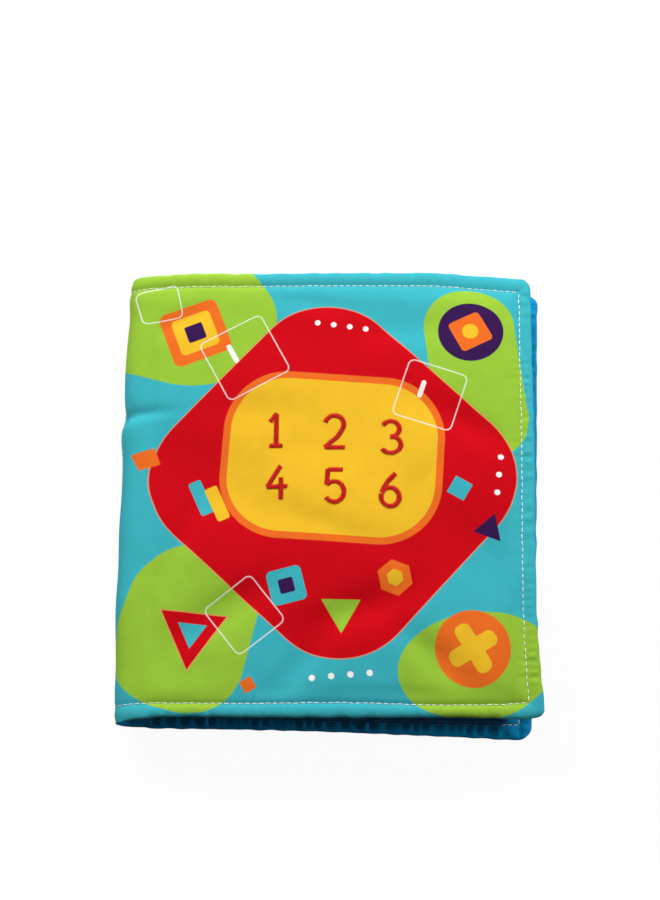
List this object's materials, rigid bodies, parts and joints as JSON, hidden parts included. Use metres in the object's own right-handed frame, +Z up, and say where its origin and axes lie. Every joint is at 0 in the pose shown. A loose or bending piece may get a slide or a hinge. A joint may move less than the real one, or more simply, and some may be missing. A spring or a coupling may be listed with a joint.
{
  "type": "cloth book",
  "caption": "Closed soft cloth book of padded fabric leaves sewn through one seam at the spine, with topstitched edges; the leaves fan open.",
  "frame": {"origin": "centre of the overall box's base, on the surface that the closed book lies on", "axes": "+Z up through the pile of leaves, +X from the spine to the fore edge, +Y from the lower edge to the upper edge of the front cover"},
  "size_m": [0.2058, 0.2304, 0.0241],
  "materials": {
    "cover_print": "printed cotton, matt",
    "lining_blue": "plain dyed cotton, matt",
    "lining_yellow": "plain dyed cotton, matt",
    "page_coral": "plain dyed cotton, matt",
    "page_purple": "plain dyed cotton, matt",
    "page_teal": "plain dyed cotton, matt",
    "page_lime": "plain dyed cotton, matt",
    "page_yellow": "plain dyed cotton, matt",
    "wadding": "white polyester wadding",
    "thread": "white polyester thread"
  },
  "bodies": {
    "back_cover": {"back_cover_upper_fabric": "lining_blue", "back_cover_lower_fabric": "cover_print", "back_cover_wadding": "wadding", "back_cover_needle_thread": "thread", "back_cover_bobbin_thread": "thread", "spine_seam_thread": "thread", "inner_sheet_fold": "page_yellow"},
    "leaf_4": {"leaf_4_upper_fabric": "page_lime", "leaf_4_lower_fabric": "page_yellow", "leaf_4_wadding": "wadding", "leaf_4_needle_thread": "thread", "leaf_4_bobbin_thread": "thread"},
    "leaf_3": {"leaf_3_upper_fabric": "page_yellow", "leaf_3_lower_fabric": "page_coral", "leaf_3_wadding": "wadding", "leaf_3_needle_thread": "thread", "leaf_3_bobbin_thread": "thread"},
    "leaf_2": {"leaf_2_upper_fabric": "page_teal", "leaf_2_lower_fabric": "page_lime", "leaf_2_wadding": "wadding", "leaf_2_needle_thread": "thread", "leaf_2_bobbin_thread": "thread"},
    "leaf_1": {"leaf_1_upper_fabric": "page_coral", "leaf_1_lower_fabric": "page_purple", "leaf_1_wadding": "wadding", "leaf_1_needle_thread": "thread", "leaf_1_bobbin_thread": "thread"},
    "front_cover": {"front_cover_upper_fabric": "cover_print", "front_cover_lower_fabric": "lining_yellow", "front_cover_wadding": "wadding", "front_cover_needle_thread": "thread", "front_cover_bobbin_thread": "thread"}
  },
  "joints": [
    {"name": "front_cover_turn", "type": "hinge", "parent": "back_cover", "child": "front_cover", "pos_m": [-0.10237, 0.0032, 0.00975], "axis": [0, -1, 0], "range_deg": [0, 176]},
    {"name": "leaf_1_turn", "type": "hinge", "parent": "back_cover", "child": "leaf_1", "pos_m": [-0.10237, 0.0032, 0.00975], "axis": [0, -1, 0], "range_deg": [0, 140.81]},
    {"name": "leaf_2_turn", "type": "hinge", "parent": "back_cover", "child": "leaf_2", "pos_m": [-0.10237, 0.0032, 0.00975], "axis": [0, -1, 0], "range_deg": [0, 105.61]},
    {"name": "leaf_3_turn", "type": "hinge", "parent": "back_cover", "child": "leaf_3", "pos_m": [-0.10237, 0.0032, 0.00975], "axis": [0, -1, 0], "range_deg": [0, 70.41]},
    {"name": "leaf_4_turn", "type": "hinge", "parent": "back_cover", "child": "leaf_4", "pos_m": [-0.10237, 0.0032, 0.00975], "axis": [0, -1, 0], "range_deg": [0, 35.21]}
  ],
  "couplings": [
    {"joint": "leaf_1_turn", "follows": "front_cover_turn", "ratio": 0.8},
    {"joint": "leaf_2_turn", "follows": "front_cover_turn", "ratio": 0.6},
    {"joint": "leaf_3_turn", "follows": "front_cover_turn", "ratio": 0.4},
    {"joint": "leaf_4_turn", "follows": "front_cover_turn", "ratio": 0.2}
  ]
}
